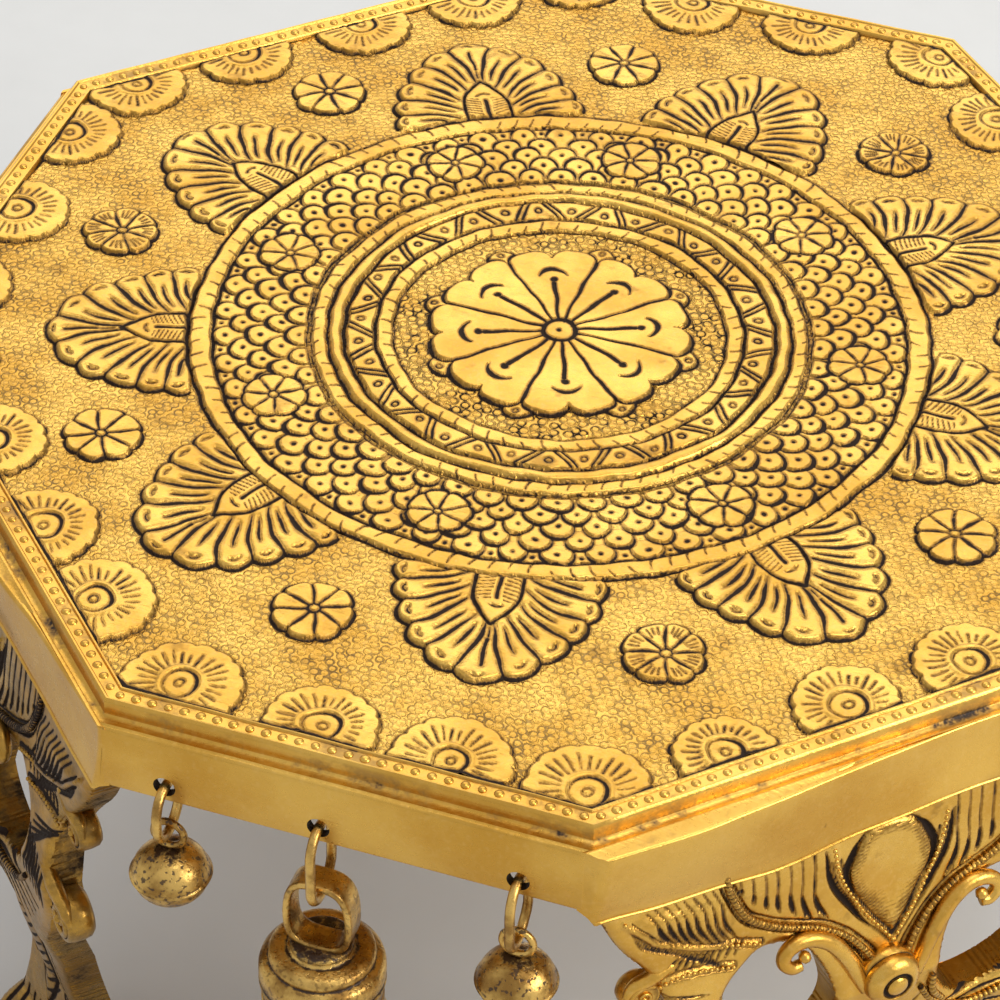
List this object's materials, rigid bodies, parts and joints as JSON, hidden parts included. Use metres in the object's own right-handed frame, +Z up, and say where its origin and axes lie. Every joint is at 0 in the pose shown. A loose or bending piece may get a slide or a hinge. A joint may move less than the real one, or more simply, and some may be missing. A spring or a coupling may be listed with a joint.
{
  "type": "low table",
  "caption": "Low octagonal cast brass table with chased relief top, pierced scroll legs, and small bells hung on wire links below the skirt.",
  "frame": {"origin": "on the floor under the middle of the table", "axes": "+Z up, a side with pendants faces -Y, the legs stand on the diagonals"},
  "size_m": [0.343, 0.343, 0.19],
  "materials": {
    "gilt_brass": "satin",
    "tarnished_brass": "satin",
    "steel": "satin"
  },
  "bodies": {
    "table": {"table_top": "gilt_brass", "leg_front_right": "gilt_brass", "leg_back_right": "gilt_brass", "leg_back_left": "gilt_brass", "leg_front_left": "gilt_brass", "screw_front_right_left": "steel", "screw_front_right_right": "steel", "screw_back_right_left": "steel", "screw_back_right_right": "steel", "screw_back_left_left": "steel", "screw_back_left_right": "steel", "screw_front_left_left": "steel", "screw_front_left_right": "steel"},
    "link_front_a": {"link_front_a": "tarnished_brass"},
    "ghungroo_front_a": {"ghungroo_front_a": "tarnished_brass"},
    "pellet_front_a": {"pellet_front_a": "steel"},
    "link_front_b": {"link_front_b": "tarnished_brass"},
    "bell_front_b": {"bell_front_b": "tarnished_brass"},
    "clapper_front_b": {"clapper_front_b": "tarnished_brass"},
    "link_front_c": {"link_front_c": "tarnished_brass"},
    "ghungroo_front_c": {"ghungroo_front_c": "tarnished_brass"},
    "pellet_front_c": {"pellet_front_c": "steel"},
    "link_right_a": {"link_right_a": "tarnished_brass"},
    "ghungroo_right_a": {"ghungroo_right_a": "tarnished_brass"},
    "pellet_right_a": {"pellet_right_a": "steel"},
    "link_right_b": {"link_right_b": "tarnished_brass"},
    "bell_right_b": {"bell_right_b": "tarnished_brass"},
    "clapper_right_b": {"clapper_right_b": "tarnished_brass"},
    "link_right_c": {"link_right_c": "tarnished_brass"},
    "ghungroo_right_c": {"ghungroo_right_c": "tarnished_brass"},
    "pellet_right_c": {"pellet_right_c": "steel"},
    "link_back_a": {"link_back_a": "tarnished_brass"},
    "ghungroo_back_a": {"ghungroo_back_a": "tarnished_brass"},
    "pellet_back_a": {"pellet_back_a": "steel"},
    "link_back_b": {"link_back_b": "tarnished_brass"},
    "bell_back_b": {"bell_back_b": "tarnished_brass"},
    "clapper_back_b": {"clapper_back_b": "tarnished_brass"},
    "link_back_c": {"link_back_c": "tarnished_brass"},
    "ghungroo_back_c": {"ghungroo_back_c": "tarnished_brass"},
    "pellet_back_c": {"pellet_back_c": "steel"},
    "link_left_a": {"link_left_a": "tarnished_brass"},
    "ghungroo_left_a": {"ghungroo_left_a": "tarnished_brass"},
    "pellet_left_a": {"pellet_left_a": "steel"},
    "link_left_b": {"link_left_b": "tarnished_brass"},
    "bell_left_b": {"bell_left_b": "tarnished_brass"},
    "clapper_left_b": {"clapper_left_b": "tarnished_brass"},
    "link_left_c": {"link_left_c": "tarnished_brass"},
    "ghungroo_left_c": {"ghungroo_left_c": "tarnished_brass"},
    "pellet_left_c": {"pellet_left_c": "steel"}
  },
  "joints": [
    {"name": "link_swing_front_a", "type": "hinge", "parent": "table", "child": "link_front_a", "pos_m": [-0.0388, -0.1515, 0.1695], "axis": [1, 0, 0], "range_deg": [-35, 35]},
    {"name": "ghungroo_swing_front_a", "type": "hinge", "parent": "link_front_a", "child": "ghungroo_front_a", "pos_m": [-0.0388, -0.1515, 0.15883], "axis": [0, 1, 0], "range_deg": [-25, 25]},
    {"name": "pellet_roll_front_a", "type": "hinge", "parent": "ghungroo_front_a", "child": "pellet_front_a", "pos_m": [-0.0388, -0.1515, 0.14673], "axis": [1, 0, 0], "range_deg": [-40, 40]},
    {"name": "link_swing_front_b", "type": "hinge", "parent": "table", "child": "link_front_b", "pos_m": [-0.0046, -0.1515, 0.1695], "axis": [1, 0, 0], "range_deg": [-35, 35]},
    {"name": "bell_swing_front_b", "type": "hinge", "parent": "link_front_b", "child": "bell_front_b", "pos_m": [-0.0046, -0.1515, 0.15233], "axis": [0, 1, 0], "range_deg": [-25, 25]},
    {"name": "clapper_swing_front_b", "type": "hinge", "parent": "bell_front_b", "child": "clapper_front_b", "pos_m": [-0.0046, -0.1515, 0.12783], "axis": [1, 0, 0], "range_deg": [-18, 18]},
    {"name": "link_swing_front_c", "type": "hinge", "parent": "table", "child": "link_front_c", "pos_m": [0.0388, -0.1515, 0.1695], "axis": [1, 0, 0], "range_deg": [-35, 35]},
    {"name": "ghungroo_swing_front_c", "type": "hinge", "parent": "link_front_c", "child": "ghungroo_front_c", "pos_m": [0.0388, -0.1515, 0.15433], "axis": [0, 1, 0], "range_deg": [-25, 25]},
    {"name": "pellet_roll_front_c", "type": "hinge", "parent": "ghungroo_front_c", "child": "pellet_front_c", "pos_m": [0.0388, -0.1515, 0.14223], "axis": [1, 0, 0], "range_deg": [-40, 40]},
    {"name": "link_swing_right_a", "type": "hinge", "parent": "table", "child": "link_right_a", "pos_m": [0.1515, -0.0388, 0.1695], "axis": [0, 1, 0], "range_deg": [-35, 35]},
    {"name": "ghungroo_swing_right_a", "type": "hinge", "parent": "link_right_a", "child": "ghungroo_right_a", "pos_m": [0.1515, -0.0388, 0.15883], "axis": [-1, 0, 0], "range_deg": [-25, 25]},
    {"name": "pellet_roll_right_a", "type": "hinge", "parent": "ghungroo_right_a", "child": "pellet_right_a", "pos_m": [0.1515, -0.0388, 0.14673], "axis": [0, 1, 0], "range_deg": [-40, 40]},
    {"name": "link_swing_right_b", "type": "hinge", "parent": "table", "child": "link_right_b", "pos_m": [0.1515, -0.0046, 0.1695], "axis": [0, 1, 0], "range_deg": [-35, 35]},
    {"name": "bell_swing_right_b", "type": "hinge", "parent": "link_right_b", "child": "bell_right_b", "pos_m": [0.1515, -0.0046, 0.15233], "axis": [-1, 0, 0], "range_deg": [-25, 25]},
    {"name": "clapper_swing_right_b", "type": "hinge", "parent": "bell_right_b", "child": "clapper_right_b", "pos_m": [0.1515, -0.0046, 0.12783], "axis": [0, 1, 0], "range_deg": [-18, 18]},
    {"name": "link_swing_right_c", "type": "hinge", "parent": "table", "child": "link_right_c", "pos_m": [0.1515, 0.0388, 0.1695], "axis": [0, 1, 0], "range_deg": [-35, 35]},
    {"name": "ghungroo_swing_right_c", "type": "hinge", "parent": "link_right_c", "child": "ghungroo_right_c", "pos_m": [0.1515, 0.0388, 0.15433], "axis": [-1, 0, 0], "range_deg": [-25, 25]},
    {"name": "pellet_roll_right_c", "type": "hinge", "parent": "ghungroo_right_c", "child": "pellet_right_c", "pos_m": [0.1515, 0.0388, 0.14223], "axis": [0, 1, 0], "range_deg": [-40, 40]},
    {"name": "link_swing_back_a", "type": "hinge", "parent": "table", "child": "link_back_a", "pos_m": [0.0388, 0.1515, 0.1695], "axis": [-1, 0, 0], "range_deg": [-35, 35]},
    {"name": "ghungroo_swing_back_a", "type": "hinge", "parent": "link_back_a", "child": "ghungroo_back_a", "pos_m": [0.0388, 0.1515, 0.15883], "axis": [0, -1, 0], "range_deg": [-25, 25]},
    {"name": "pellet_roll_back_a", "type": "hinge", "parent": "ghungroo_back_a", "child": "pellet_back_a", "pos_m": [0.0388, 0.1515, 0.14673], "axis": [-1, 0, 0], "range_deg": [-40, 40]},
    {"name": "link_swing_back_b", "type": "hinge", "parent": "table", "child": "link_back_b", "pos_m": [0.0046, 0.1515, 0.1695], "axis": [-1, 0, 0], "range_deg": [-35, 35]},
    {"name": "bell_swing_back_b", "type": "hinge", "parent": "link_back_b", "child": "bell_back_b", "pos_m": [0.0046, 0.1515, 0.15233], "axis": [0, -1, 0], "range_deg": [-25, 25]},
    {"name": "clapper_swing_back_b", "type": "hinge", "parent": "bell_back_b", "child": "clapper_back_b", "pos_m": [0.0046, 0.1515, 0.12783], "axis": [-1, 0, 0], "range_deg": [-18, 18]},
    {"name": "link_swing_back_c", "type": "hinge", "parent": "table", "child": "link_back_c", "pos_m": [-0.0388, 0.1515, 0.1695], "axis": [-1, 0, 0], "range_deg": [-35, 35]},
    {"name": "ghungroo_swing_back_c", "type": "hinge", "parent": "link_back_c", "child": "ghungroo_back_c", "pos_m": [-0.0388, 0.1515, 0.15433], "axis": [0, -1, 0], "range_deg": [-25, 25]},
    {"name": "pellet_roll_back_c", "type": "hinge", "parent": "ghungroo_back_c", "child": "pellet_back_c", "pos_m": [-0.0388, 0.1515, 0.14223], "axis": [-1, 0, 0], "range_deg": [-40, 40]},
    {"name": "link_swing_left_a", "type": "hinge", "parent": "table", "child": "link_left_a", "pos_m": [-0.1515, 0.0388, 0.1695], "axis": [0, -1, 0], "range_deg": [-35, 35]},
    {"name": "ghungroo_swing_left_a", "type": "hinge", "parent": "link_left_a", "child": "ghungroo_left_a", "pos_m": [-0.1515, 0.0388, 0.15883], "axis": [1, 0, 0], "range_deg": [-25, 25]},
    {"name": "pellet_roll_left_a", "type": "hinge", "parent": "ghungroo_left_a", "child": "pellet_left_a", "pos_m": [-0.1515, 0.0388, 0.14673], "axis": [0, -1, 0], "range_deg": [-40, 40]},
    {"name": "link_swing_left_b", "type": "hinge", "parent": "table", "child": "link_left_b", "pos_m": [-0.1515, 0.0046, 0.1695], "axis": [0, -1, 0], "range_deg": [-35, 35]},
    {"name": "bell_swing_left_b", "type": "hinge", "parent": "link_left_b", "child": "bell_left_b", "pos_m": [-0.1515, 0.0046, 0.15233], "axis": [1, 0, 0], "range_deg": [-25, 25]},
    {"name": "clapper_swing_left_b", "type": "hinge", "parent": "bell_left_b", "child": "clapper_left_b", "pos_m": [-0.1515, 0.0046, 0.12783], "axis": [0, -1, 0], "range_deg": [-18, 18]},
    {"name": "link_swing_left_c", "type": "hinge", "parent": "table", "child": "link_left_c", "pos_m": [-0.1515, -0.0388, 0.1695], "axis": [0, -1, 0], "range_deg": [-35, 35]},
    {"name": "ghungroo_swing_left_c", "type": "hinge", "parent": "link_left_c", "child": "ghungroo_left_c", "pos_m": [-0.1515, -0.0388, 0.15433], "axis": [1, 0, 0], "range_deg": [-25, 25]},
    {"name": "pellet_roll_left_c", "type": "hinge", "parent": "ghungroo_left_c", "child": "pellet_left_c", "pos_m": [-0.1515, -0.0388, 0.14223], "axis": [0, -1, 0], "range_deg": [-40, 40]}
  ]
}
